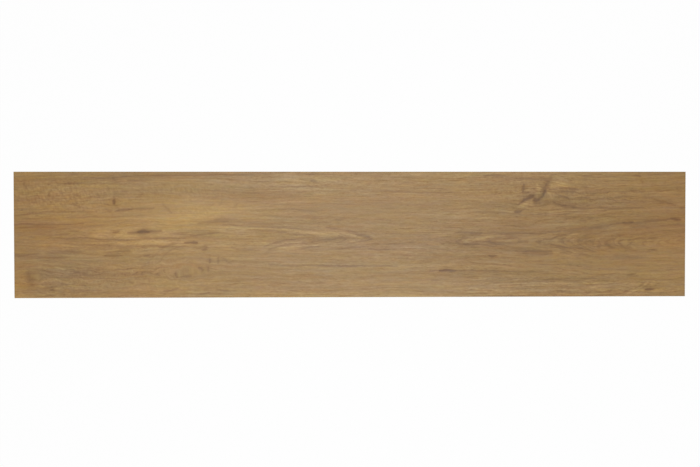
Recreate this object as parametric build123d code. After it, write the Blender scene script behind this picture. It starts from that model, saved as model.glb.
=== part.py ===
"""Vinyl floor plank for gluing down: one pressed sheet, die-cut square, with a fine bevel round its face.

Sizes are in millimetres. The plank lies flat with its printed face up. X runs along its
length, Y across its width and Z up through its thickness, and the origin is at the middle
of its underside.
"""

import os

from build123d import *

# Driving dimensions
LENGTH = 1220.0
WIDTH = 228.0
THICKNESS = 3.0
BEVEL_WIDTH = 0.6  # how far the bevel reaches in over the face
BEVEL_DEPTH = 0.4  # how far the bevel comes down each edge


def die_cut_sheet():
    """The pressed sheet as the die leaves it, flat on both sides and square at every corner."""
    outline = Rectangle(LENGTH, WIDTH)
    return extrude(outline, THICKNESS)


def bevelled(sheet):
    """The sheet with its face bevelled along all four edges, so that laid planks meet in a fine V."""
    face = sheet.faces().sort_by(Axis.Z)[-1]
    return chamfer(face.edges(), BEVEL_WIDTH, BEVEL_DEPTH, reference=face)


def main():
    os.makedirs("parts", exist_ok=True)
    vinyl_plank = bevelled(die_cut_sheet())
    export_step(vinyl_plank, "parts/vinyl_plank.step")


main()
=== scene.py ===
"""Looks of the vinyl floor plank: an oak print with its pressed grain, die-cut edges and a plain backing.

The print is laid out in millimetres on the plank's face, x along it and y across it, from its middle.
Everything else is in metres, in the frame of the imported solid.
"""

import bpy
import numpy as np
from mathutils import Matrix, Vector


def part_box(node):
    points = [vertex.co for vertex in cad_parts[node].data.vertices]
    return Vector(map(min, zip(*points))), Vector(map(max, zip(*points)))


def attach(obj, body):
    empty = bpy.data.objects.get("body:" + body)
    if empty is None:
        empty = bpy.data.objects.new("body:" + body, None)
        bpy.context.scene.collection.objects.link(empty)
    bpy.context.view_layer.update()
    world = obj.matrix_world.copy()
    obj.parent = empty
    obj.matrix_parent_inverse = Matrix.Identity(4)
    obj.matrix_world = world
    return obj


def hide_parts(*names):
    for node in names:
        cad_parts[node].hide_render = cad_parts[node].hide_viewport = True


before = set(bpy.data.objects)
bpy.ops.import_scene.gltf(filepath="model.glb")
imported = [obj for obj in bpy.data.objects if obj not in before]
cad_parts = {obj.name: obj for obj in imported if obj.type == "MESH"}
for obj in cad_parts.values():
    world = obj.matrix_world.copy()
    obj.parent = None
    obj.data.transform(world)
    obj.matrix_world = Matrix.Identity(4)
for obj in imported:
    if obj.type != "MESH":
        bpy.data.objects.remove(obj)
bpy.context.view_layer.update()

NODE = "vinyl_plank"
MM = 0.001

# Grid of the pressed face: how many cells along and across
CELLS_ALONG = 500
CELLS_ACROSS = 185

# Where the grid's columns stand closer together: place along, reach, how much closer; steps of the sum
CLOSER = [(345, 75, 1.2), (-385, 70, 0.8), (10, 60, 0.3), (500, 60, 0.3)]
CLOSER_STEPS = 4000

# Depth of the pressed grain below the face, in millimetres: fibres, drawn lines, ring lines, and at most
GRAIN_DEPTH = 0.10
LINE_DEPTH = 0.16
RING_DEPTH = 0.07
DEEPEST = 0.24

# Streaks of the pressed grain: length, thickness, strength; then the rings' length and strength, and the
# share that is pressed between them
PRESSED_FIBRES = [(30, 2.6, 0.5), (90, 4.5, 0.4)]
PRESSED_RINGS = (200, 0.4)
PRESSED_MIDDLE = 0.3

# The heart of the log under the face: place along, place across, depth below, how much its flame shows
HEART = [
    (-610, 2, 52.5, 0.2), (-510, 0, 50, 0.5), (-438, -2, 47.7, 0.5), (-348, -0.5, 45.8, 0.5),
    (-249, -2.5, 45.2, 0.6), (-132, -6, 45.2, 0.7), (-68, -6.5, 45.4, 0.7), (-10, -6.5, 47.7, 0.5),
    (32, -6.5, 50, 0.4), (78, -7.5, 51.3, 0.4), (114, -8.5, 51.8, 0.3), (150, -10, 51.3, 0.4),
    (191, -13, 50, 1.0), (249, -11, 47.7, 1.0), (345, -12.5, 45.4, 1.1), (381, -10.5, 43.1, 1.2),
    (414, -12.5, 40.8, 1.2), (437, -16, 38.5, 0.8), (464, -14.5, 36.2, 0.6), (490, -13.5, 33.9, 0.5),
    (527, -16, 31.6, 0.7), (608, -12.5, 28, 0.6),
]

# Growth rings of the log: the radius of the one numbered 0, and how wide each ring is
RING_ZERO = 50.0
RING_WIDTH = 2.3

# Dark lines to a ring, and the shares of a line's step over which it comes on and fades outwards
LINES_PER_RING = 2
RING_RISE = 0.14
RING_FALL = 0.42

# The flames over the heart: how far they reach across, how calm the grain is there, their lines elsewhere
FLAME_REACH = 18.0
FLAME_CALM = 0.8
FLAME_ELSEWHERE = 0.22

# Swaying of the grain: how far it goes, over what length and across what breadth
SWAY = [(4.0, 330, 60), (2.0, 140, 26), (1.0, 45, 11)]
WAVES = [(3.2, 24, 10), (1.8, 11, 6)]

# Where the grain runs in short waves: place along and across, reach along and across, strength
WAVY = [
    (471, 70, 110, 18, 1.0), (-492, -83, 110, 26, 1.2), (-331, -61, 80, 38, 1.2),
    (-527, 72, 110, 34, 0.7), (-284, 85, 120, 20, 0.6), (326, 84, 60, 25, 0.8), (519, -91, 80, 20, 0.6),
]

# Knots that the grain runs round: place along and across, radius, how many times longer than wide
KNOTS = [
    (332, 66, 12, 1.5), (-296, -65, 15, 2.2), (-578, -76, 9, 1.3), (-379, 7, 3.5, 6.0), (-430, 60, 4, 1.5),
]

# How softly the grain parts at a knot's middle
KNOT_SOFTNESS = 1.05

# Broad lighter and darker areas: place, reach along and across, how much lighter
AREAS = [
    (-338, 26, 75, 13, 0.15), (-274, 35, 70, 14, 0.16), (-209, 47, 60, 12, 0.13), (-442, 9, 80, 14, 0.08),
    (-314, 1, 140, 80, 0.09), (-482, 50, 90, 35, 0.06), (-590, 23, 60, 12, -0.06),
    (-596, -37, 50, 8, -0.08), (-453, -74, 170, 12, -0.06), (-520, -72, 60, 28, -0.05),
    (-560, 100, 160, 10, -0.05), (341, 72, 30, 18, -0.04), (357, -24, 130, 8, -0.1),
    (236, -6, 60, 14, -0.06), (490, 8, 115, 8, -0.12), (327, -10, 160, 30, -0.04),
    (387, 62, 55, 8, -0.06), (560, -61, 90, 30, 0.06), (-180, 70, 65, 9, -0.1), (95, -17, 230, 18, -0.06),
    (296, 2, 60, 40, -0.12), (221, -40, 70, 35, -0.1), (-308, -94, 70, 18, 0.05),
    (-610, 1, 250, 250, 0.03), (610, -1, 250, 250, -0.03), (388, 56, 60, 18, -0.05),
    (437, 40, 170, 45, -0.08), (468, -61, 200, 35, -0.05), (468, 70, 100, 14, -0.08),
    (-110, 97, 220, 16, 0.1), (-285, 60, 70, 14, 0.13), (-440, 18, 170, 18, -0.04),
    (304, 95, 50, 20, -0.05), (590, 85, 45, 40, -0.04), (-130, -17, 60, 14, 0.09),
    (-300, -95, 130, 18, 0.05), (160, -95, 400, 18, 0.065), (350, -55, 170, 16, -0.03),
    (304, 19, 45, 14, -0.04), (40, -55, 120, 16, 0.04), (572, 12, 45, 16, -0.06), (380, 95, 45, 20, 0.07),
    (-270, 97, 330, 14, 0.03), (-540, 35, 80, 30, -0.04), (-60, -20, 250, 60, 0.025),
    (-155, -4, 40, 8, 0.06), (-366, -71, 40, 6, 0.08), (-487, -70, 12, 5, 0.08), (-525, -74, 10, 5, 0.06),
    # The row at across -112 is painted light: a paler strip along the lower edge that offsets the bevel's
    # shade there
    (-480, -97, 140, 14, 0.035), (450, -97, 90, 14, 0.06), (0, -112, 800, 7, 0.15),
    (330, 112, 400, 5, 0.08), (-60, 73, 60, 9, 0.16), (50, -40, 65, 7, 0.14), (30, 51, 85, 9, -0.08),
    (505, -44, 40, 8, -0.15), (606, 14, 25, 30, -0.06), (-602, 50, 25, 18, -0.06),
    (-604, -82, 20, 22, 0.06), (565, 113, 50, 4, -0.16),
]

# Warmer and cooler areas of the print: place, reach along and across, how much warmer
WARM_AREAS = [
    (-452, 16, 190, 26, 0.4), (-134, 95, 220, 20, -0.5), (276, -95, 330, 20, -0.45),
    (85, -25, 130, 20, -0.35), (509, -9, 110, 18, 0.25), (599, 90, 60, 30, 0.25),
    (-520, -72, 60, 32, -0.7), (-605, -85, 35, 35, 0.5), (-570, -33, 70, 10, -0.4),
    (0, -15, 150, 40, -0.15), (-172, -6, 40, 10, 0.4), (-50, -57, 200, 18, -0.12),
    (-430, 58, 14, 10, 0.6), (-105, -20, 50, 9, -0.4), (593, 27, 20, 8, 0.4), (503, 21, 20, 8, 0.3),
]

# Redder and greener areas of the print: place, reach along and across, how much redder
RED_AREAS = [
    (-525, 25, 170, 55, 0.6), (610, 10, 60, 80, 0.5), (-330, -5, 70, 12, 0.3), (-520, -20, 150, 14, 0.2),
    (-470, -97, 170, 18, 0.35), (600, -8, 50, 20, 0.4), (350, -75, 190, 30, -0.25), (540, 8, 60, 18, 0.4),
    (-215, 20, 60, 14, 0.3), (-540, -16, 40, 9, 0.5), (-605, -85, 30, 40, 0.5), (-520, -70, 60, 30, -0.2),
    (-140, 90, 50, 20, 0.2), (-304, 92, 60, 20, -0.3), (391, 92, 50, 25, -0.25),
    (480, -66, 110, 18, -0.3), (455, -12, 45, 8, 0.3), (-600, 95, 60, 20, 0.2), (590, 95, 60, 20, 0.25),
    (390, 19, 120, 16, -0.25), (402, -11, 12, 8, 0.6), (346, 71, 8, 12, -0.7), (580, -70, 28, 13, 0.5),
    (-105, -20, 50, 9, 0.25), (-480, 40, 90, 25, -0.2), (-175, -57, 90, 18, -0.25),
    (217, -57, 45, 18, -0.3),
]

# Where the figure ripples across the grain: place, reach along and across, strength
RIPPLES = [
    (-530, 72, 100, 30, 1.4), (-303, 80, 90, 18, 0.8), (-515, -83, 70, 24, 0.6), (427, 70, 100, 18, 0.8),
    (-274, 42, 70, 10, 0.5), (296, 84, 60, 26, 0.6), (519, -13, 90, 12, 0.4), (-383, -69, 130, 30, 0.6),
    (539, -93, 60, 14, 0.4),
]

# Where the fine grain shows more, or less: place, reach along and across, how much more
LIVELY = [
    (-560, 80, 100, 34, -0.1), (-542, -93, 120, 25, 0.4), (336, 75, 110, 50, 0.5),
    (498, 60, 150, 60, 0.15), (428, -96, 230, 30, 0.4), (-300, 44, 110, 25, -0.75),
    (-300, 88, 70, 18, -0.5), (-300, -44, 60, 20, -0.15), (-383, -19, 90, 14, 0.3),
    (-330, -65, 90, 40, -0.15), (-296, -66, 35, 18, -0.35), (471, 70, 110, 18, 0.15),
    (-50, 56, 60, 18, -0.3), (50, 42, 80, 24, -0.3), (-100, -35, 120, 14, -0.2),
    (-180, -60, 70, 40, -0.15), (-60, 92, 80, 18, 0.3), (110, -88, 120, 25, -0.25),
    (180, -88, 60, 22, -0.25), (370, -15, 110, 30, 0.2), (310, -88, 60, 22, 0.1),
    (-390, 10, 80, 18, -0.2), (0, 0, 280, 200, -0.15), (217, -60, 70, 40, 0.3), (500, -62, 100, 18, -0.3),
    (350, -95, 200, 25, 0.2), (391, 25, 60, 25, 0.3), (217, -17, 60, 20, 0.25),
]

# Lines of the print, each with how much darker it is, half its thickness and the points it runs through
LEFT_FLAME = [
    (0.42, 1.2, [(-507, -5), (-482, -5), (-457, -8), (-423, -9), (-403, -9), (-365, -7), (-324, -6),
        (-304, -7)]),
    (0.3, 3.2, [(-280, 20), (-262, 22), (-244, 23), (-226, 25)]),
    (0.2, 3, [(-249, 27), (-229, 29), (-209, 28)]),
    (0.34, 1.3, [(-236, 19), (-218, 18), (-204, 16), (-192, 15)]),
    (0.3, 1.4, [(-192, 15), (-165, 14), (-135, 13), (-105, 11), (-80, 9), (-60, 6)]),
    (0.18, 1.1, [(-184, 19), (-155, 19), (-125, 18)]),
    (0.42, 1.7, [(-292, -1), (-274, 0), (-260, 2), (-241, 4)]),
    (0.14, 1.1, [(-286, 8), (-269, 8), (-252, 7)]),
    (0.2, 1.5, [(-140, 4), (-129, 4), (-119, 5)]),
    (0.14, 1.2, [(-170, 7), (-153, 6), (-140, 4)]),
    (0.34, 1.8, [(-160, -22), (-147, -17), (-133, -13), (-119, -10), (-105, -9)]),
    (0.22, 1.8, [(-105, -9), (-89, -7), (-71, -7)]),
    (0.34, 1.6, [(-92, -16), (-76, -14), (-61, -11)]),
    (0.38, 2, [(-63, -11), (-47, -9), (-31, -8)]),
    (0.36, 2.6, [(-29, -7), (-20, -6), (-11, -8)]),
    (0.32, 1.4, [(-49, 13), (-33, 11), (-17, 10)]),
    (0.32, 2.1, [(-16, 9), (-3, 6), (9, 2), (21, -2), (31, -5), (36, -7)]),
    (0.2, 3.2, [(23, -5), (30, -7), (36, -8)]),
    (0.24, 1.6, [(33, -9), (22, -12), (10, -13)]),
    (0.26, 1.6, [(-14, -5), (-2, -6), (9, -9)]),
    (0.28, 1.2, [(-31, -27), (-13, -25), (3, -23), (15, -24)]),
    (0.32, 1.4, [(29, -25), (47, -28), (69, -27)]),
    (0.34, 1.4, [(-95, -26), (-77, -23), (-58, -21)]),
    (0.18, 1.2, [(-155, -30), (-137, -28)]),
    (0.22, 1.3, [(-75, 27), (-65, 27)]),
    (0.2, 1.4, [(-30, 27), (-17, 26)]),
    (-0.15, 2.6, [(-272, 15), (-249, 15), (-226, 13), (-204, 11), (-174, 11), (-145, 10), (-117, 9),
        (-95, 7)]),
    (-0.16, 3, [(-127, 9), (-100, 7), (-77, 5), (-55, 1), (-38, -1), (-27, -2)]),
    (-0.2, 1.6, [(-2, -1), (9, -4), (19, -7)]),
    (-0.18, 1.8, [(14, -10), (2, -12), (-14, -12)]),
    (-0.14, 1.4, [(7, -17), (25, -14), (39, -10)]),
    (-0.14, 1.4, [(-65, -18), (-45, -16), (-30, -16)]),
    (0.28, 1.4, [(-154, -28), (-137, -22), (-119, -18), (-101, -17)]),
    (-0.2, 1.8, [(-136, -19), (-120, -15), (-104, -13), (-92, -13)]),
    (-0.24, 1.9, [(-132, -25), (-112, -22), (-95, -20), (-75, -20), (-62, -19)]),
    (0.24, 1.3, [(-190, 8), (-160, 8), (-140, 7), (-118, 4)]),
    (-0.18, 1.8, [(-87, -12), (-80, -12), (-73, -11)]),
    (-0.1, 2.2, [(-165, -15), (-152, -16), (-142, -18)]),
    (-0.16, 4, [(-424, -14), (-384, -14), (-344, -12)]),
    (-0.16, 1.8, [(-472, 0), (-442, 0), (-413, -1), (-393, -2)]),
]
RIGHT_FLAME = [
    (0.4, 2.2, [(188, 3), (202, 4), (218, 3)]),
    (0.44, 2.4, [(216, 3), (224, 2), (235, 1)]),
    (0.28, 1.3, [(234, 2), (258, 3), (286, 2), (318, 2)]),
    (0.34, 1.4, [(318, 2), (337, 1), (353, 2)]),
    (0.3, 1.4, [(353, 2), (365, 4), (381, 5)]),
    (0.26, 1.7, [(190, -12), (196, -10), (204, -7), (218, -6)]),
    (0.34, 1.8, [(189, -13), (196, -17), (204, -18)]),
    (0.62, 1.8, [(202, -18), (215, -18), (230, -18)]),
    (0.24, 1.4, [(232, -18), (246, -20), (259, -23)]),
    (0.28, 1.8, [(248, -13), (255, -10), (264, -8), (277, -8)]),
    (0.3, 1.3, [(277, -8), (293, -7), (308, -8)]),
    (0.28, 2.0, [(248, -13), (255, -15), (264, -17), (277, -16)]),
    (0.3, 1.7, [(277, -16), (293, -16), (308, -15)]),
    (0.26, 1.3, [(304, -13), (323, -13)]),
    (0.26, 1.3, [(335, -13), (349, -12)]),
    (0.32, 1.5, [(349, -9), (364, -8), (376, -4), (390, 0)]),
    (0.26, 1.6, [(335, -14), (351, -17), (365, -18)]),
    (0.46, 1.8, [(363, -19), (377, -22), (393, -24)]),
    (0.22, 1.4, [(393, -24), (409, -25), (422, -26)]),
    (0.22, 2.2, [(296, -31), (310, -32), (322, -31)]),
    (0.44, 1.6, [(315, -31), (338, -31), (364, -31)]),
    (0.24, 2.4, [(312, -35), (330, -36), (348, -37), (366, -36)]),
    (0.3, 1.5, [(379, -27), (394, -31), (407, -35)]),
    (0.24, 1.3, [(379, -33), (391, -35), (399, -37)]),
    (0.3, 1.4, [(415, -25), (434, -29), (444, -32)]),
    (0.24, 1.2, [(409, -35), (424, -37), (438, -39)]),
    (0.36, 2, [(389, -7), (383, -10), (387, -15)]),
    (0.24, 1.2, [(379, -5), (391, -2), (399, 0)]),
    (0.32, 2.6, [(413, -12), (421, -12)]),
    (0.28, 1.3, [(421, -9), (430, -7), (440, -4)]),
    (0.2, 1.3, [(421, -3), (434, -1)]),
    (0.2, 1.3, [(422, -15), (434, -20), (444, -24)]),
    (0.28, 2.6, [(431, -13), (438, -14)]),
    (0.28, 1.6, [(444, -9), (440, -14), (442, -19)]),
    (0.4, 2.4, [(446, -22), (454, -23)]),
    (0.3, 2.6, [(462, -17), (468, -19)]),
    (0.36, 2.6, [(468, -21), (474, -24), (480, -25)]),
    (0.22, 1.5, [(462, -16), (470, -11), (480, -8)]),
    (0.38, 2.2, [(494, -10), (487, -14), (489, -18)]),
    (0.32, 1.8, [(488, -17), (495, -22), (506, -25), (513, -26)]),
    (0.36, 1.4, [(494, -10), (511, -10), (523, -8), (535, -8)]),
    (0.36, 1.5, [(539, -9), (551, -7), (559, -7)]),
    (0.26, 1.4, [(513, -14), (505, -19), (503, -22)]),
    (0.18, 1.5, [(539, -12), (531, -16), (537, -22)]),
    (0.18, 1.5, [(569, -11), (559, -16), (567, -21)]),
    (0.48, 0.9, [(541, -29), (557, -28)]),
    (0.18, 3.2, [(375, 6), (401, 7), (427, 10), (454, 13)]),
    (0.2, 2, [(434, 12), (454, 14), (466, 16)]),
    (0.32, 1.7, [(466, 15), (482, 20), (496, 21)]),
    (0.72, 1.8, [(494, 21), (503, 21), (513, 22)]),
    (0.42, 1.9, [(510, 21), (531, 22), (551, 24), (571, 26), (587, 28)]),
    (0.72, 2.1, [(584, 29), (592, 27), (601, 26)]),
    (0.2, 1.3, [(484, 20), (508, 19), (529, 19)]),
    (-0.28, 2.4, [(202, -11), (220, -11), (240, -6), (258, -3), (276, -3)]),
    (-0.24, 2.2, [(466, 9), (482, 11), (511, 14)]),
    (-0.18, 1.6, [(262, -12), (280, -12), (300, -12)]),
    (-0.2, 1.4, [(370, -26), (382, -29), (392, -31)]),
    (-0.26, 1.6, [(393, -29), (400, -31), (408, -34)]),
    (-0.24, 1.5, [(380, -39), (394, -39), (408, -40)]),
    (-0.16, 1.4, [(364, -33), (379, -33)]),
    (-0.2, 1.5, [(386, -5), (398, -3), (412, 0)]),
    (-0.06, 3, [(395, -7), (403, -9), (410, -11)]),
    (-0.1, 2.4, [(540, -15), (551, -17), (565, -15)]),
]
CRACK = [
    (0.16, 3.0, [(362, 106), (360, 100)]),
    (0.52, 4.6, [(358, 97), (356, 93), (353, 89)]),
    (0.34, 3.6, [(353, 89), (351, 85), (350, 80)]),
    (0.8, 2.3, [(352, 80), (350, 76)]),
    (0.58, 2.8, [(350, 75), (348, 71), (345, 67)]),
    (0.5, 2.5, [(346, 67), (341, 65), (338, 63)]),
    (0.95, 2.5, [(340, 62), (336, 61), (331, 62)]),
    (0.4, 1.8, [(331, 66), (336, 65)]),
    (0.2, 1.9, [(336, 57), (330, 58)]),
    (0.7, 2.4, [(331, 70), (325, 69)]),
    (1.0, 2.7, [(326, 67), (317, 64), (308, 59)]),
    (0.4, 1.5, [(308, 59), (305, 56), (302, 54)]),
    (0.66, 2.3, [(296, 41), (302, 41), (308, 42)]),
    (0.24, 1.9, [(308, 44), (316, 47)]),
    (0.64, 1.8, [(313, 92), (312, 85), (311, 77)]),
    (0.4, 1.4, [(311, 77), (316, 76), (322, 76)]),
    (0.3, 1.5, [(364, 60), (371, 58)]),
    (0.42, 1.9, [(369, 58), (378, 54), (391, 52)]),
    (0.36, 2.4, [(381, 52), (395, 51), (409, 50)]),
    (0.38, 1.5, [(401, 49), (417, 47), (437, 47)]),
    (0.38, 1.3, [(437, 47), (454, 48), (470, 47), (503, 48), (534, 49)]),
    (0.24, 1.4, [(378, 84), (391, 84)]),
    (0.3, 1.6, [(395, 83), (405, 82), (414, 82)]),
    (0.3, 1.3, [(377, 78), (393, 78), (409, 77)]),
    (0.34, 1.5, [(376, 70), (385, 69), (395, 66)]),
    (0.2, 1.4, [(369, 76), (377, 73)]),
    (0.26, 2.2, [(419, 86), (433, 85)]),
    (0.2, 2.6, [(424, 68), (430, 68)]),
    (-0.62, 2.9, [(305, 53), (312, 54), (320, 56)]),
    (-0.16, 3, [(321, 55), (332, 56)]),
    (-0.2, 3.4, [(366, 97), (377, 94), (393, 92)]),
    (-0.2, 3, [(356, 82), (359, 75), (363, 69)]),
    (-0.22, 3, [(336, 92), (340, 84), (341, 76)]),
]
SLIT = [
    (1.1, 3.2, [(-387, 5), (-378, 6), (-369, 5)]),
    (0.5, 2.2, [(-406, 4), (-396, 4), (-384, 5)]),
    (0.5, 2.2, [(-373, 6), (-359, 6), (-345, 7)]),
    (0.34, 1.4, [(-433, 4), (-426, 5), (-419, 7)]),
    (0.22, 1.6, [(-536, 1), (-521, 1), (-511, 2)]),
]
PIN_KNOTS = [
    (0.52, 1.9, [(-304, -14), (-293, -14)]),
    (0.75, 2.4, [(-292, -14), (-285, -14), (-279, -15)]),
    (0.3, 2.2, [(-269, -19), (-264, -23)]),
    (0.44, 2.4, [(-272, -27), (-264, -26)]),
    (0.22, 1.5, [(-349, -23), (-338, -20), (-326, -16), (-312, -14)]),
    (0.14, 1.4, [(-391, -68), (-373, -53), (-355, -35), (-341, -23), (-320, -17)]),
    (0.2, 1.2, [(-349, -49), (-338, -35), (-320, -24), (-301, -20)]),
    (0.4, 2, [(-259, -40), (-258, -51)]),
    (0.32, 1.9, [(-243, -40), (-244, -52)]),
    (0.26, 1.6, [(-238, -40), (-231, -45), (-225, -50), (-216, -49)]),
    (0.46, 2.3, [(-279, -59), (-270, -63)]),
    (0.38, 2.2, [(-262, -57), (-261, -66)]),
    (0.36, 2.6, [(-320, -67), (-319, -77)]),
    (0.36, 1.4, [(-312, -76), (-291, -75)]),
    (0.32, 6, [(-586, -68), (-583, -78), (-577, -92)]),
    (0.86, 2.6, [(-431, 62), (-430, 56)]),
    (0.3, 1.4, [(-430, 68), (-430, 62)]),
    (0.18, 2.2, [(-427, 53), (-423, 48)]),
    (0.95, 1.8, [(536, -102), (543, -101), (552, -101)]),
    (0.54, 1.9, [(248, -38), (255, -40), (262, -39)]),
    (1.0, 1.6, [(159, -66), (172, -65), (187, -67)]),
    (0.42, 2.4, [(-75, 98), (-66, 96)]),
    (0.34, 1.8, [(-517, 93), (-506, 93)]),
]
STREAKS = [
    (0.34, 1.1, [(-484, 104), (-434, 103), (-383, 107), (-330, 107), (-267, 108), (-145, 110)]),
    (0.26, 2.6, [(-432, 105), (-429, 98)]),
    (0.2, 1.2, [(-531, 93), (-509, 93), (-484, 94)]),
    (0.3, 1.5, [(-405, 98), (-397, 98), (-389, 97)]),
    (0.2, 1.4, [(-390, 99), (-376, 99), (-362, 99)]),
    (0.3, 1.6, [(-610, 34), (-590, 37), (-575, 39), (-561, 38)]),
    (0.24, 1.3, [(-565, 40), (-546, 42), (-531, 41), (-506, 42)]),
    (0.24, 1.8, [(-506, 42), (-491, 43), (-477, 41), (-462, 42)]),
    (0.5, 1.7, [(-429, 43), (-415, 45), (-398, 46)]),
    (0.34, 1.5, [(-404, 46), (-388, 47), (-372, 47), (-358, 48)]),
    (0.26, 2.2, [(-447, 47), (-440, 45)]),
    (0.28, 2.2, [(-441, 43), (-434, 43)]),
    (0.2, 1.4, [(-449, 56), (-442, 55), (-434, 51)]),
    (0.18, 1.4, [(-463, 53), (-448, 52)]),
    (0.2, 2.4, [(-391, 68), (-384, 70), (-378, 75)]),
    (0.2, 1.5, [(-420, 79), (-405, 78)]),
    (0.18, 2.8, [(-361, 75), (-350, 75)]),
    (0.18, 2.6, [(-461, 73), (-456, 67)]),
    (0.16, 2.8, [(-442, 87), (-440, 81)]),
    (0.18, 1.1, [(-389, 35), (-373, 34)]),
    (0.34, 1.4, [(-610, 18), (-592, 20), (-578, 19), (-531, 19), (-506, 19), (-484, 21)]),
    (0.26, 2.2, [(-608, 12), (-571, 14), (-535, 13)]),
    (0.26, 2, [(-610, -36), (-591, -37), (-576, -34), (-564, -33)]),
    (0.26, 3.0, [(-553, -34), (-531, -32), (-512, -31), (-490, -31)]),
    (0.26, 1.5, [(-567, -41), (-546, -42), (-527, -41), (-510, -40)]),
    (0.2, 1.5, [(-610, -12), (-594, -13)]),
    (0.34, 1.6, [(-449, -38), (-433, -38), (-419, -37)]),
    (0.16, 3, [(-445, -32), (-421, -34)]),
    (0.4, 2.0, [(-428, -30), (-415, -30), (-402, -29)]),
    (0.42, 1.3, [(-377, -38), (-367, -37)]),
    (0.34, 1.4, [(-399, -73), (-388, -68), (-375, -66)]),
    (0.2, 1.3, [(-375, -66), (-361, -66), (-349, -59)]),
    (0.3, 1.6, [(-406, -85), (-395, -87)]),
    (0.24, 1.4, [(-354, -70), (-349, -74)]),
    (0.22, 1.4, [(-503, -67), (-478, -64), (-450, -62)]),
    (0.24, 1.5, [(-514, -74), (-485, -73)]),
    (0.36, 1.5, [(-343, -102), (-331, -101), (-316, -98)]),
    (0.34, 1.5, [(-247, -98), (-237, -101), (-222, -102)]),
    (0.32, 1.4, [(-280, -108), (-261, -106)]),
    (0.26, 1.6, [(-218, -22), (-207, -27), (-179, -27)]),
    (0.26, 1.4, [(-133, 47), (-110, 47), (-88, 44), (-62, 41)]),
    (0.4, 1.2, [(-152, -54), (-125, -56), (-90, -56), (-60, -56), (-35, -57), (14, -57), (83, -58)]),
    (0.18, 1.4, [(-66, -89), (-50, -88)]),
    (0.24, 1.2, [(-66, -55), (-20, -57), (24, -57)]),
    (0.2, 1.2, [(58, 79), (105, 77), (159, 76), (200, 76)]),
    (0.22, 1.2, [(114, 87), (152, 88)]),
    (0.4, 1.6, [(141, -66), (175, -66), (215, -66), (269, -67), (358, -69)]),
    (0.3, 1.4, [(239, 107), (259, 107), (279, 107)]),
    (0.26, 1.3, [(369, 69), (383, 68), (398, 65)]),
    (0.22, 1.3, [(372, 78), (405, 79)]),
    (0.24, 1.3, [(372, 85), (412, 83)]),
    (0.32, 1.3, [(507, 80), (512, 79), (520, 79)]),
    (0.28, 1.3, [(524, 78), (538, 78)]),
    (0.22, 1.4, [(555, 81), (567, 79)]),
    (0.26, 1.6, [(594, 84), (600, 77)]),
    (0.26, 1.1, [(420, 107), (437, 107)]),
    (0.42, 1.4, [(514, 108), (520, 107), (527, 104)]),
    (0.26, 1.5, [(529, 99), (532, 92)]),
    (0.22, 1.6, [(118, -51), (130, -50), (146, -49)]),
    (0.24, 1.2, [(144, -84), (158, -84)]),
    (0.22, 1.3, [(522, 66), (536, 67), (549, 66)]),
    (0.38, 1.4, [(547, 67), (560, 61), (575, 58), (591, 53)]),
    (0.42, 1.9, [(600, 49), (608, 48)]),
    (0.26, 1.3, [(332, -80), (350, -83), (376, -82), (399, -85), (428, -82), (453, -75), (487, -71)]),
    (0.22, 1.3, [(446, -84), (460, -82), (472, -80)]),
    (0.4, 1.7, [(503, -75), (510, -74), (518, -74)]),
    (0.22, 1.4, [(380, -93), (410, -96), (435, -94)]),
]
FLECKS = [
    (0.3, 2.2, [(-592, 95), (-589, 88), (-586, 81)]),
    (0.3, 1.7, [(-551, 75), (-545, 70), (-535, 69)]),
    (0.32, 1.7, [(-507, 58), (-500, 54), (-491, 51)]),
    (0.2, 1.9, [(-344, 57), (-336, 49), (-330, 42), (-325, 37)]),
    (0.18, 1.8, [(-260, 51), (-252, 55)]),
    (0.18, 1.8, [(-215, 49), (-206, 57)]),
    (0.14, 1.8, [(-240, 52), (-235, 63)]),
    (0.34, 1.4, [(517, -100), (526, -95), (537, -87)]),
    (-0.24, 1.9, [(526, -100), (534, -94), (542, -87)]),
    (0.22, 1.2, [(533, -98), (539, -93), (546, -88)]),
    (0.34, 1.6, [(496, -107), (504, -103), (513, -99)]),
    (-0.22, 2.0, [(501, -110), (511, -106), (522, -102)]),
    (0.28, 1.9, [(469, -104), (480, -99)]),
    (0.16, 1.2, [(552, -97), (560, -91), (567, -87)]),
    (0.24, 1.5, [(-533, -77), (-524, -82), (-515, -85)]),
    (-0.28, 2, [(-522, -84), (-516, -87), (-509, -91)]),
    (-0.2, 1.8, [(-537, -80), (-531, -82), (-524, -83)]),
    (0.4, 2, [(-546, -98), (-542, -100), (-538, -103)]),
    (0.24, 1.6, [(-558, -97), (-550, -95), (-542, -94)]),
    (-0.26, 1.8, [(-536, -96), (-530, -98), (-523, -99)]),
    (-0.26, 1.9, [(-520, -98), (-515, -102), (-510, -106)]),
    (-0.2, 1.8, [(-552, -106), (-544, -104), (-536, -105)]),
    (0.3, 1.6, [(-525, -104), (-521, -108), (-519, -111)]),
    (0.2, 1.4, [(-531, -101), (-525, -104)]),
    (-0.18, 1.8, [(-508, -97), (-500, -98), (-493, -99)]),
    (0.24, 1.5, [(-508, -66), (-500, -66), (-492, -66)]),
    (0.2, 1.4, [(-563, -62), (-552, -66), (-543, -69)]),
    (-0.2, 1.6, [(-540, -57), (-529, -59), (-521, -63)]),
    (0.28, 1.5, [(-554, -109), (-545, -109), (-537, -110)]),
]

FEATURES = LEFT_FLAME + RIGHT_FLAME + CRACK + SLIT + PIN_KNOTS + STREAKS + FLECKS

# Streaks of the print: how long and how thick they are, and how much they lighten or darken it
FIBRES = [(5, 2.3, 0.25), (14, 2.6, 0.29), (45, 3.2, 0.30), (140, 3.6, 0.26), (400, 9.0, 0.24)]

# The same for whole rings, everywhere and in the flames, with the thickness counted in rings
RING_SWELL = [(240, 1.1, 0.36)]
FLAME_SWELL = [(110, 0.5, 0.35)]

# Unsteadiness of the ring lines: its length, its thickness and how many lines it moves them by
RING_WOBBLE = [(40, 9.0, 0.9), (12, 4.0, 0.5)]

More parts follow.
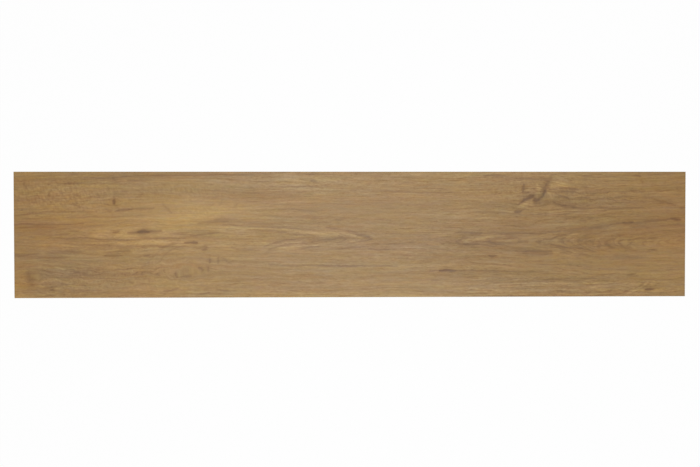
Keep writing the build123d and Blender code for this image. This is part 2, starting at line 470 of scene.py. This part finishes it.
# How the ring lines come and go: length, thickness in lines, strength; and how much they show between
RING_CHANGE = (90, 0.8, 4.0)
RING_SHOWS = 0.6

# How dark the ring lines are, and the share of a line at which the print keeps its tone
FLAME_DARK = 0.22
FLAME_MIDDLE = 0.25

# Dark pores: length, thickness, how dark; and how strong their noise is where they begin
PORES = [(9, 1.5, 1.2), (40, 1.6, 1.4), (12, 0.5, 1.1)]
PORE_START = 0.1

# Ripples across the grain: their size along and across, their strength, and how far they lean
RIPPLE_STEP = (4.5, 7.0, 0.60)
RIPPLE_SLANT = 0.25

# How much the fibres break up the drawn lines
LINE_BREAK = 1.6

# Colours of the print by its tone, from the darkest marks to the palest wood, as linear light
PALETTE = [
    (-0.90, (0.150, 0.076, 0.029)),
    (-0.35, (0.226, 0.125, 0.045)),
    (0.00, (0.305, 0.182, 0.066)),
    (0.20, (0.364, 0.226, 0.083)),
    (0.45, (0.456, 0.294, 0.110)),
]

# Drift of the print's warmth and redness: length, thickness, strength; and what it adds to the colour
HUE_DRIFT = [(60, 8.0, 1.6), (14, 4.0, 1.2)]
WARM_TINT = (0.05, 0.0, -0.30)
RED_DRIFT = [(200, 25, 1.4), (60, 8.0, 1.4), (14, 4.0, 1.4)]
RED_TINT = (0.055, -0.025, 0.0)

# Gloss of the print: its roughness, how much less rough the raised grain is, its shine, its fine relief
FACE_ROUGHNESS = 0.45
GRAIN_POLISH = -0.25
FACE_SHINE = 0.26
FACE_BUMP = 0.0002

# The cut edge: speckles to a metre, their detail, colours, roughness and its change, fine relief
SPECKLES = 900.0
SPECKLE_DETAIL = 3.0
EDGE_PALETTE = [(-0.3, (0.16, 0.13, 0.10)), (0.3, (0.30, 0.25, 0.19))]
EDGE_ROUGHNESS = 0.7
EDGE_CHANGE = 0.3
EDGE_BUMP = 0.0001

# The backing: clouds to a metre, their detail, colours, roughness and its change, the waffle's step, relief
CLOUDS = 40
CLOUD_DETAIL = 4.0
BACK_PALETTE = [(-0.3, (0.10, 0.095, 0.09)), (0.3, (0.17, 0.165, 0.155))]
BACK_ROUGHNESS = 0.75
BACK_CHANGE = 0.2
WAFFLE_STEP = 0.006
WAFFLE_BUMP = 0.0002

# The camera stands over the plank, a little to its back left
CAMERA_AT = (-0.0449, 0.0387, 1.7682)
CAMERA_AIM = (-0.0041, 0.0018, 0.0)
CAMERA_ROLL = -0.00093
LENS = 50.0

# One soft lamp over the plank, and the even fill light from all round
SOFTBOX_AT = (0.06, -0.06, 2.4)
SOFTBOX_SIZE = (1.2, 1.0)
SOFTBOX_POWER = 36.0
FILL = 0.42

# The floor: its size, how far it lies under the plank, how pale it is, how much plain white the eye sees
FLOOR_SIZE = 160.0
FLOOR_GAP = 0.0002
FLOOR_ALBEDO = 0.82
FLOOR_WHITE = 0.95

# Noise: points of its lattice each way, and the gain that brings it to about -1 to 1
LATTICE = 256
NOISE_GAIN = 1.5

# Drawn lines: steps to each span, how many half thicknesses they reach, how thick their ends are
LINE_STEPS = 5
LINE_REACH = 6
LINE_END = 0.4

# The soft halo of a drawn line: its share of the line's darkness, and how many times wider it is
HALO = 0.2
HALO_WIDTH = 3

# Unsteadiness of the drawn lines along and across: how far it goes, over what length and what breadth
HAND_ALONG = (1.6, 6, 5)
HAND_ACROSS = (0.9, 8, 4)

# How much paler the bevel's rim is painted: painted light that offsets the shade on the bevel's slope
BEVEL_PAINTED_LIGHT = 0.3

# How near two places count as one
TOUCH = 0.01 * MM

# Starting numbers of the noises of the mesh, then of the materials, and the step between those
SEEDS = {
    "sway": 3, "hand along": 7, "hand across": 8, "pressed fibres": 11, "pressed rings": 13, "waves": 21,
}
SHADER_SEEDS = {
    "fibres": 1, "ring swell": 11, "ripples": 13, "ring wobble": 14, "ring change": 16, "flame swell": 17,
    "warmth": 18, "pores": 21, "redness": 25, "speckle": 21, "cloud": 31,
}
SEED_STEP = 7.31

# The bake square: the margin at its sides and, from below, the strips of the edges, the back and the face
MARGIN = 0.005
EDGE_STRIP = (0.012, 0.034)
BACK_STRIP = (0.05, 0.2)
FACE_STRIP = (0.22, 0.995)


def noise(u, v, seed):
    """Smooth noise between about -1 and 1 whose swells are about one unit across."""
    angles = np.random.default_rng(seed).uniform(0, 2 * np.pi, (LATTICE, LATTICE))
    column = np.floor(u).astype(int)
    row = np.floor(v).astype(int)

    def pull(right, up):
        """How high one corner's slope lifts each point."""
        angle = angles[(column + right) % LATTICE, (row + up) % LATTICE]
        return np.cos(angle) * (u - column - right) + np.sin(angle) * (v - row - up)

    def eased(t):
        """Goes from 0 to 1 without a corner at either end."""
        return t * t * t * (t * (t * 6 - 15) + 10)

    rightward = eased(u - column)
    upward = eased(v - row)
    low = pull(0, 0) * (1 - rightward) + pull(1, 0) * rightward
    high = pull(0, 1) * (1 - rightward) + pull(1, 1) * rightward
    return NOISE_GAIN * (low * (1 - upward) + high * upward)


def smooth_curve(at, places, values):
    """Values between the given places, on a curve that passes through them without corners."""
    places = np.array(places, float)
    values = np.array(values, float)
    slopes = np.gradient(values, places)
    i = np.clip(np.searchsorted(places, at) - 1, 0, len(places) - 2)
    span = places[i + 1] - places[i]
    t = np.clip((at - places[i]) / span, 0, 1)
    start = (1 + 2 * t) * (1 - t) ** 2 * values[i] + t * (1 - t) ** 2 * span * slopes[i]
    end = t * t * (3 - 2 * t) * values[i + 1] - t * t * (1 - t) * span * slopes[i + 1]
    return start + end


def smooth_line(points):
    """Points along a curve through the given ones, several to each span."""
    points = np.array(points, float)
    reach = np.concatenate([[0], np.cumsum(np.hypot(*np.diff(points, axis=0).T))])
    at = np.linspace(0, reach[-1], LINE_STEPS * (len(points) - 1) + 1)
    return np.stack([smooth_curve(at, reach, points[:, axis]) for axis in (0, 1)], 1)


def soft_areas(x, y, rows):
    """Sum of soft-edged areas, each with its place, its reach along and across, and its strength."""
    total = np.zeros_like(x)
    for along, across, reach_along, reach_across, strength in rows:
        total += strength * np.exp(-((x - along) / reach_along) ** 2 - ((y - across) / reach_across) ** 2)
    return total


def from_heart(x, y):
    """How far across from the log's heart each point lies, how deep the heart is, how much it shows."""
    places, *values = zip(*HEART)
    across, depth, shown = (smooth_curve(x, places, value) for value in values)
    return y - across, depth, shown


def flame_share(x, y):
    """How strongly the ring lines show at each point, strongest over the heart."""
    off, _, shown = from_heart(x, y)
    return shown * np.exp(-((off / FLAME_REACH) ** 2))


def straightened(x, y):
    """Where each point would lie across the plank if the grain ran straight along it."""
    calm = 1 - FLAME_CALM * np.minimum(flame_share(x, y), 1)
    flow = y.copy()
    for number, (sway, length, breadth) in enumerate(SWAY):
        flow += calm * sway * noise(x / length, y / breadth, SEEDS["sway"] + number)
    wavy = soft_areas(x, y, WAVY)
    for number, (sway, length, breadth) in enumerate(WAVES):
        flow += wavy * sway * noise(x / length, y / breadth, SEEDS["waves"] + number)
    for along, across, radius, stretch in KNOTS:
        dx = (x - along) / stretch
        dy = y - across
        flow -= dy * radius**2 / (dx * dx + dy * dy + KNOT_SOFTNESS * radius**2)
    return flow


def ring_count(x, flow):
    """Growth rings from the one numbered 0 out to each point of the face."""
    off, depth, _ = from_heart(x, flow)
    return (np.hypot(depth, off) - RING_ZERO) / RING_WIDTH


def line_shade(x, y, points, half):
    """How much of a drawn line covers each point, from 0 to 1, thinner towards the line's ends."""
    path = smooth_line(points)
    low = path.min(0) - LINE_REACH * half
    high = path.max(0) + LINE_REACH * half
    near = np.flatnonzero((x > low[0]) & (x < high[0]) & (y > low[1]) & (y < high[1]))
    shade = np.zeros_like(x)
    for k in range(len(path) - 1):
        step = path[k + 1] - path[k]
        from_x = x[near] - path[k, 0]
        from_y = y[near] - path[k, 1]
        t = np.clip((from_x * step[0] + from_y * step[1]) / (step @ step), 0, 1)
        along = (k + t) / (len(path) - 1)
        width = half * (LINE_END + (1 - LINE_END) * 4 * along * (1 - along))
        off = np.hypot(from_x - t * step[0], from_y - t * step[1])
        core = np.exp(-((off / width) ** 2))
        halo = np.exp(-((off / (HALO_WIDTH * width)) ** 2))
        shade[near] = np.maximum(shade[near], (1 - HALO) * core + HALO * halo)
    return shade


def drawn_tone(x, y):
    """How much the drawn lines lighten the print, negative where they darken it."""
    sway, length, breadth = HAND_ALONG
    x = x + sway * noise(x / length, y / breadth, SEEDS["hand along"])
    sway, length, breadth = HAND_ACROSS
    y = y + sway * noise(x / length, y / breadth, SEEDS["hand across"])
    total = np.zeros_like(x)
    for darker, half, points in FEATURES:
        total -= darker * line_shade(x, y, points, half)
    return total


def pressed_depth(x, y, flow, ring, tone):
    """How deep the grain is pressed into the face, in millimetres."""
    fibres = np.zeros_like(x)
    for number, (length, thickness, strength) in enumerate(PRESSED_FIBRES):
        fibres += strength * noise(x / length, flow / thickness, SEEDS["pressed fibres"] + number)
    length, strength = PRESSED_RINGS
    rings = strength * noise(x / length, ring, SEEDS["pressed rings"])
    lines = np.clip(1 - (LINES_PER_RING * ring % 1) / RING_FALL, 0, 1) * flame_share(x, y)
    grain = GRAIN_DEPTH * np.clip(PRESSED_MIDDLE + fibres + rings, 0, 1)
    depth = grain + RING_DEPTH * lines + LINE_DEPTH * np.clip(-tone, 0, 1)
    return np.minimum(depth, DEEPEST)


def bevel_of(solid):
    """How far the solid's bevel reaches in over its face and down its edge, in metres."""
    points = np.array([v.co for v in solid.data.vertices])
    high = points.max(0)
    face = points[points[:, 2] > high[2] - TOUCH]
    rim = points[points[:, 0] > high[0] - TOUCH]
    return high[0] - face[:, 0].max(), high[2] - rim[:, 2].max()


def column_places(start, end):
    """Places of the grid's columns along the face, closer together where the finest marks are."""
    at = np.linspace(start, end, CLOSER_STEPS)
    crowd = np.ones_like(at)
    for place, reach, more in CLOSER:
        crowd += more * np.exp(-(((at / MM - place) / reach) ** 2))
    passed = np.cumsum(crowd) - crowd[0]
    return np.interp(np.linspace(0, passed[-1], CELLS_ALONG + 1), passed, at)


def plank_shape():
    """Points and faces of the plank: its pressed face, the bevel round it, its edges and its back."""
    low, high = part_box(NODE)
    bevel_in, bevel_down = bevel_of(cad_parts[NODE])
    columns, rows = CELLS_ALONG + 1, CELLS_ACROSS + 1
    xs = column_places(low.x + bevel_in, high.x - bevel_in)
    ys = np.linspace(low.y + bevel_in, high.y - bevel_in, rows)
    x, y = (a.ravel() for a in np.meshgrid(xs, ys))
    index = np.arange(columns * rows).reshape(rows, columns)
    quads = np.stack([index[:-1, :-1], index[:-1, 1:], index[1:, 1:], index[1:, :-1]], -1).reshape(-1, 4)
    loop = np.concatenate([index[0, :-1], index[:-1, -1], index[-1, :0:-1], index[:0:-1, 0]])
    count = len(loop)
    out_x = x[loop] * high.x / xs[-1]
    out_y = y[loop] * high.y / ys[-1]
    face = np.stack([x, y, np.full_like(x, high.z)], 1)
    rim = np.stack([out_x, out_y, np.full(count, high.z - bevel_down)], 1)
    foot = np.stack([out_x, out_y, np.full(count, low.z)], 1)
    here = np.arange(count)
    after = (here + 1) % count
    rim_at = columns * rows
    foot_at = rim_at + count
    bevel = np.stack([rim_at + here, rim_at + after, loop[after], loop[here]], 1)
    edge = np.stack([foot_at + here, foot_at + after, rim_at + after, rim_at + here], 1)
    back = foot_at + here[::-1]
    return np.concatenate([face, rim, foot]), (quads, bevel, edge, back), len(face)


def bake_places(points, groups):
    """Where each face corner lies on the bake's square: the face above, then the back, then the edges."""
    quads, bevel, edge, back = groups
    low, high = points.min(0), points.max(0)
    share = (points - low) / (high - low)

    def spread(corners, bottom, top):
        """Lays corners out on a strip as they lie from above."""
        at = share[corners.ravel()]
        return np.stack([MARGIN + (1 - 2 * MARGIN) * at[:, 0], bottom + (top - bottom) * at[:, 1]], 1)

    turn = np.arange(len(edge)) / len(edge)
    step = 1 / len(edge)
    u = MARGIN + (1 - 2 * MARGIN) * np.stack([turn, turn + step, turn + step, turn], 1)
    v = np.tile([EDGE_STRIP[0], EDGE_STRIP[0], EDGE_STRIP[1], EDGE_STRIP[1]], (len(edge), 1))
    strip = np.stack([u.ravel(), v.ravel()], 1)
    face = [spread(corners, *FACE_STRIP) for corners in (quads, bevel)]
    return np.concatenate([*face, strip, spread(back, *BACK_STRIP)])


def add_object(name, data):
    """A new object in the scene."""
    thing = bpy.data.objects.new(name, data)
    bpy.context.scene.collection.objects.link(thing)
    return thing


def add_attribute(mesh, name, kind, values):
    """Stores a value for each point of the mesh, for the materials to read."""
    field = "vector" if kind == "FLOAT_VECTOR" else "value"
    store = mesh.attributes.new(name, kind, "POINT").data
    store.foreach_set(field, np.ascontiguousarray(values, np.float32).ravel())


def add_layout(mesh, x, y, flow, ring, drawn, on_face):
    """Stores the print's layout on the mesh: the run of the grain, its figure, its tone and its hue."""
    flame = FLAME_ELSEWHERE + (1 - FLAME_ELSEWHERE) * flame_share(x, y)
    figure = [soft_areas(x, y, RIPPLES), 1 + soft_areas(x, y, LIVELY), flame]
    hue = [soft_areas(x, y, WARM_AREAS), soft_areas(x, y, RED_AREAS), np.zeros_like(x)]
    tone = drawn + soft_areas(x, y, AREAS)
    # The bevel is painted paler towards its rim, as painted light against the shade on its slope
    tone[on_face:] += BEVEL_PAINTED_LIGHT
    add_attribute(mesh, "grain", "FLOAT_VECTOR", np.stack([x, flow, ring], 1))
    add_attribute(mesh, "figure", "FLOAT_VECTOR", np.stack(figure, 1))
    add_attribute(mesh, "tone", "FLOAT", tone)
    add_attribute(mesh, "hue", "FLOAT_VECTOR", np.stack(hue, 1))


def plank_object():
    """The plank as one closed mesh that carries the layout of its print."""
    points, groups, on_face = plank_shape()
    x, y = points[:, 0] / MM, points[:, 1] / MM
    flow = straightened(x, y)
    ring = ring_count(x, flow)
    drawn = drawn_tone(x, y)
    points[:on_face, 2] -= MM * pressed_depth(x, y, flow, ring, drawn)[:on_face]
    quads, bevel, edge, back = groups
    mesh = bpy.data.meshes.new("plank")
    mesh.from_pydata(points.tolist(), [], [*quads.tolist(), *bevel.tolist(), *edge.tolist(), back.tolist()])
    sizes = (len(quads), len(bevel), len(edge), 1)
    mesh.polygons.foreach_set("material_index", np.repeat([0, 0, 1, 2], sizes))
    mesh.polygons.foreach_set("use_smooth", np.repeat([True, False, False, False], sizes))
    add_layout(mesh, x, y, flow, ring, drawn, on_face)
    places = mesh.uv_layers.new(name="OFBake").uv
    places.foreach_set("vector", bake_places(points, groups).astype(np.float32).ravel())
    mesh.update()
    return add_object("plank", mesh)


class Graph:
    """Short ways to add nodes to a material's tree and to join them."""

    def __init__(self, name):
        self.material = bpy.data.materials.new(name)
        self.material.use_nodes = True
        self.tree = self.material.node_tree
        self.surface = self.tree.nodes["Principled BSDF"]

    def put(self, socket, value):
        """Links a socket to another node's output, or sets it to a plain value."""
        if isinstance(value, bpy.types.NodeSocket):
            self.tree.links.new(value, socket)
        else:
            socket.default_value = value

    def work_out(self, kind, operation, values):
        """Adds a node that works out one value from others."""
        node = self.tree.nodes.new(kind)
        node.operation = operation
        for socket, value in zip(node.inputs, values):
            self.put(socket, value)
        return node.outputs[0]

    def math(self, operation, *values):
        """A number worked out from numbers."""
        return self.work_out("ShaderNodeMath", operation, values)

    def vector(self, operation, *values):
        """A vector worked out from vectors."""
        return self.work_out("ShaderNodeVectorMath", operation, values)

    def attribute(self, name, output):
        """A value stored on the mesh."""
        node = self.tree.nodes.new("ShaderNodeAttribute")
        node.attribute_name = name
        return node.outputs[output]

    def parts(self, vector):
        """The three numbers of a vector."""
        node = self.tree.nodes.new("ShaderNodeSeparateXYZ")
        self.put(node.inputs[0], vector)
        return node.outputs

    def noise(self, first, second, seed, detail=1.0):
        """Noise between about -0.5 and 0.5 over two coordinates."""
        node = self.tree.nodes.new("ShaderNodeTexNoise")
        place = self.tree.nodes.new("ShaderNodeCombineXYZ")
        for socket, value in zip(place.inputs, (first, second, SEED_STEP * seed)):
            self.put(socket, value)
        self.put(node.inputs["Vector"], place.outputs[0])
        node.inputs["Scale"].default_value = 1.0
        node.inputs["Detail"].default_value = detail
        return self.math("SUBTRACT", node.outputs[0], 0.5)

    def streaks(self, along, across, rows, seed):
        """Sum of noises drawn out along the grain, each with its length, its thickness and its strength."""
        total = 0.0
        for number, (length, thickness, strength) in enumerate(rows):
            first = self.math("DIVIDE", along, length)
            second = self.math("DIVIDE", across, thickness)
            streak = self.noise(first, second, seed + number)
            total = self.math("MULTIPLY_ADD", streak, strength, total)
        return total

    def ease(self, value, start, end):
        """Goes smoothly from 0 where the value is at the start to 1 where it is at the end."""
        node = self.tree.nodes.new("ShaderNodeMapRange")
        node.interpolation_type = "SMOOTHSTEP"
        for name, number in (("Value", value), ("From Min", start), ("From Max", end)):
            self.put(node.inputs[name], number)
        return node.outputs[0]

    def ramp(self, value, stops):
        """Colours between the given stops."""
        low, high = stops[0][0], stops[-1][0]
        share = self.tree.nodes.new("ShaderNodeMapRange")
        for name, number in (("Value", value), ("From Min", low), ("From Max", high)):
            self.put(share.inputs[name], number)
        node = self.tree.nodes.new("ShaderNodeValToRGB")
        self.put(node.inputs[0], share.outputs[0])
        elements = node.color_ramp.elements
        while len(elements) < len(stops):
            elements.new(0.5)
        for element, (at, colour) in zip(elements, stops):
            element.position = (at - low) / (high - low)
            element.color = (*colour, 1.0)
        return node.outputs[0]

    def bump(self, height, distance):
        """A normal that shows fine relief."""
        node = self.tree.nodes.new("ShaderNodeBump")
        node.inputs["Distance"].default_value = distance
        self.put(node.inputs["Height"], height)
        return node.outputs[0]


def flame_lines(g, along, flow, ring, flame):
    """Dark lines of the growth rings, sharp inside and soft outside, strongest in the flames."""
    wobble = g.streaks(along, flow, RING_WOBBLE, SHADER_SEEDS["ring wobble"])
    lines = g.math("MULTIPLY_ADD", ring, LINES_PER_RING, wobble)
    place = g.math("FRACT", lines)
    line = g.math("MAXIMUM", g.ease(place, 1 - RING_RISE, 1.0), g.ease(place, RING_FALL, 0.0))
    change = g.streaks(along, lines, [RING_CHANGE], SHADER_SEEDS["ring change"])
    shown = g.math("MAXIMUM", g.math("ADD", change, RING_SHOWS), 0.0)
    strength = g.math("MULTIPLY", g.math("MULTIPLY", flame, shown), FLAME_DARK)
    return g.math("MULTIPLY", g.math("SUBTRACT", line, FLAME_MIDDLE), strength)


def dark_pores(g, along, flow):
    """Short dark pores where their noise is strong enough."""
    pores = 0.0
    for number, (length, thickness, strength) in enumerate(PORES):
        streak = g.streaks(along, flow, [(length, thickness, 1.0)], SHADER_SEEDS["pores"] + number)
        pore = g.math("MAXIMUM", g.math("SUBTRACT", streak, PORE_START), 0.0)
        pores = g.math("MULTIPLY_ADD", pore, strength, pores)
    return pores


def print_tint(g, along, flow):
    """Colour that the print is multiplied by, for its warmer and its redder areas."""
    warm_area, red_area, _ = g.parts(g.attribute("hue", "Vector"))
    warmth = g.math("ADD", warm_area, g.streaks(along, flow, HUE_DRIFT, SHADER_SEEDS["warmth"]))
    redness = g.math("ADD", red_area, g.streaks(along, flow, RED_DRIFT, SHADER_SEEDS["redness"]))
    warm_tint = g.vector("MULTIPLY_ADD", warmth, WARM_TINT, (1.0, 1.0, 1.0))
    return g.vector("MULTIPLY_ADD", redness, RED_TINT, warm_tint)


def printed_material():
    """The printed face: fibres, rings, pores and ripples over the drawn layout, matt with a fine grain."""
    g = Graph("printed_vinyl")
    along, flow, ring = g.parts(g.attribute("grain", "Vector"))
    ripple, lively, flame = g.parts(g.attribute("figure", "Vector"))
    tone = g.attribute("tone", "Fac")
    fibres = g.streaks(along, flow, FIBRES, SHADER_SEEDS["fibres"])
    inner = g.math("MULTIPLY", g.streaks(along, ring, FLAME_SWELL, SHADER_SEEDS["flame swell"]), flame)
    swell = g.math("ADD", g.streaks(along, ring, RING_SWELL, SHADER_SEEDS["ring swell"]), inner)
    pores = dark_pores(g, along, flow)
    slanted = g.math("MULTIPLY_ADD", flow, RIPPLE_SLANT, along)
    ripples = g.math("MULTIPLY", g.streaks(slanted, flow, [RIPPLE_STEP], SHADER_SEEDS["ripples"]), ripple)
    fine = g.math("MULTIPLY", g.math("SUBTRACT", g.math("ADD", fibres, swell), pores), lively)
    grain = g.math("ADD", fine, ripples)
    drawn = g.math("SUBTRACT", tone, flame_lines(g, along, flow, ring, flame))
    broken = g.math("MULTIPLY", drawn, g.math("MULTIPLY_ADD", fibres, LINE_BREAK, 1.0))
    colour = g.ramp(g.math("ADD", broken, grain), PALETTE)
    g.put(g.surface.inputs["Base Color"], g.vector("MULTIPLY", colour, print_tint(g, along, flow)))
    g.put(g.surface.inputs["Roughness"], g.math("MULTIPLY_ADD", grain, GRAIN_POLISH, FACE_ROUGHNESS))
    g.put(g.surface.inputs["Normal"], g.bump(grain, FACE_BUMP))
    g.surface.inputs["Specular IOR Level"].default_value = FACE_SHINE
    return g.material


def edge_material():
    """The die-cut edge: filled vinyl, fine speckled and matt."""
    g = Graph("cut_edge")
    place = g.parts(g.vector("MULTIPLY", g.attribute("position", "Vector"), (SPECKLES, SPECKLES, SPECKLES)))
    across = g.math("ADD", place[1], place[2])
    speckle = g.noise(place[0], across, SHADER_SEEDS["speckle"], SPECKLE_DETAIL)
    g.put(g.surface.inputs["Base Color"], g.ramp(speckle, EDGE_PALETTE))
    g.put(g.surface.inputs["Roughness"], g.math("MULTIPLY_ADD", speckle, EDGE_CHANGE, EDGE_ROUGHNESS))
    g.put(g.surface.inputs["Normal"], g.bump(speckle, EDGE_BUMP))
    return g.material


def backing_material():
    """The plain backing: grey vinyl with a pressed waffle for the glue to grip."""
    g = Graph("backing")
    place = g.parts(g.attribute("position", "Vector"))
    spread = [g.math("MULTIPLY", place[axis], CLOUDS) for axis in (0, 1)]
    cloud = g.noise(*spread, SHADER_SEEDS["cloud"], CLOUD_DETAIL)
    ribs = [g.math("SINE", g.math("MULTIPLY", place[axis], 2 * np.pi / WAFFLE_STEP)) for axis in (0, 1)]
    g.put(g.surface.inputs["Base Color"], g.ramp(cloud, BACK_PALETTE))
    g.put(g.surface.inputs["Roughness"], g.math("MULTIPLY_ADD", cloud, BACK_CHANGE, BACK_ROUGHNESS))
    g.put(g.surface.inputs["Normal"], g.bump(g.math("MULTIPLY", *ribs), WAFFLE_BUMP))
    return g.material


def white_to_the_eye(tree, lit, white_share):
    """Mixes white into a lit shader for rays from the camera and for those seen in gloss or glass."""
    path = tree.nodes.new("ShaderNodeLightPath")
    seen = path.outputs["Is Camera Ray"]
    for name in ("Is Glossy Ray", "Is Transmission Ray"):
        either = tree.nodes.new("ShaderNodeMath")
        either.operation = "MAXIMUM"
        tree.links.new(seen, either.inputs[0])
        tree.links.new(path.outputs[name], either.inputs[1])
        seen = either.outputs[0]
    share = tree.nodes.new("ShaderNodeMath")
    share.operation = "MULTIPLY"
    share.inputs[1].default_value = white_share
    tree.links.new(seen, share.inputs[0])
    white = tree.nodes.new("ShaderNodeEmission")
    mix = tree.nodes.new("ShaderNodeMixShader")
    tree.links.new(share.outputs[0], mix.inputs[0])
    tree.links.new(lit, mix.inputs[1])
    tree.links.new(white.outputs[0], mix.inputs[2])
    return mix.outputs[0]


def add_floor():
    """A plain white floor under the plank, which still takes its shadow."""
    half = FLOOR_SIZE / 2
    mesh = bpy.data.meshes.new("floor")
    outline = ((-half, -half), (half, -half), (half, half), (-half, half))
    corners = [(*corner, -FLOOR_GAP) for corner in outline]
    mesh.from_pydata(corners, [], [(0, 1, 2, 3)])
    floor = add_object("floor", mesh)
    material = bpy.data.materials.new("floor_white")
    material.use_nodes = True
    tree = material.node_tree
    tree.nodes.clear()
    diffuse = tree.nodes.new("ShaderNodeBsdfDiffuse")
    diffuse.inputs["Color"].default_value = (FLOOR_ALBEDO, FLOOR_ALBEDO, FLOOR_ALBEDO, 1.0)
    output = tree.nodes.new("ShaderNodeOutputMaterial")
    tree.links.new(white_to_the_eye(tree, diffuse.outputs[0], FLOOR_WHITE), output.inputs["Surface"])
    mesh.materials.append(material)


def add_world():
    """Even fill light from all round, seen as plain white."""
    world = bpy.data.worlds.new("studio")
    world.use_nodes = True
    bpy.context.scene.world = world
    tree = world.node_tree
    fill = tree.nodes["Background"]
    fill.inputs["Color"].default_value = (1.0, 1.0, 1.0, 1.0)
    fill.inputs["Strength"].default_value = FILL
    output = tree.nodes["World Output"]
    tree.links.new(white_to_the_eye(tree, fill.outputs[0], 1.0), output.inputs["Surface"])


def add_softbox():
    """One soft lamp over the plank."""
    lamp = bpy.data.lights.new("softbox", "AREA")
    lamp.shape = "RECTANGLE"
    lamp.size, lamp.size_y = SOFTBOX_SIZE
    lamp.energy = SOFTBOX_POWER
    softbox = add_object("softbox", lamp)
    softbox.location = SOFTBOX_AT
    softbox.visible_camera = False


def add_camera():
    """The camera, looking down on the plank."""
    lens = bpy.data.cameras.new("camera")
    lens.lens = LENS
    camera = add_object("camera", lens)
    back = (Vector(CAMERA_AT) - Vector(CAMERA_AIM)).normalized()
    right = Vector((0.0, 1.0, 0.0)).cross(back).normalized()
    turned = Matrix((right, back.cross(right), back)).transposed().to_4x4()
    camera.matrix_world = Matrix.Translation(CAMERA_AT) @ turned @ Matrix.Rotation(CAMERA_ROLL, 4, "Z")
    bpy.context.scene.camera = camera


plank = plank_object()
for material in (printed_material(), edge_material(), backing_material()):
    plank.data.materials.append(material)
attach(plank, "root")
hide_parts(NODE)
add_floor()
add_world()
add_softbox()
add_camera()
bpy.context.scene.view_settings.view_transform = "Standard"
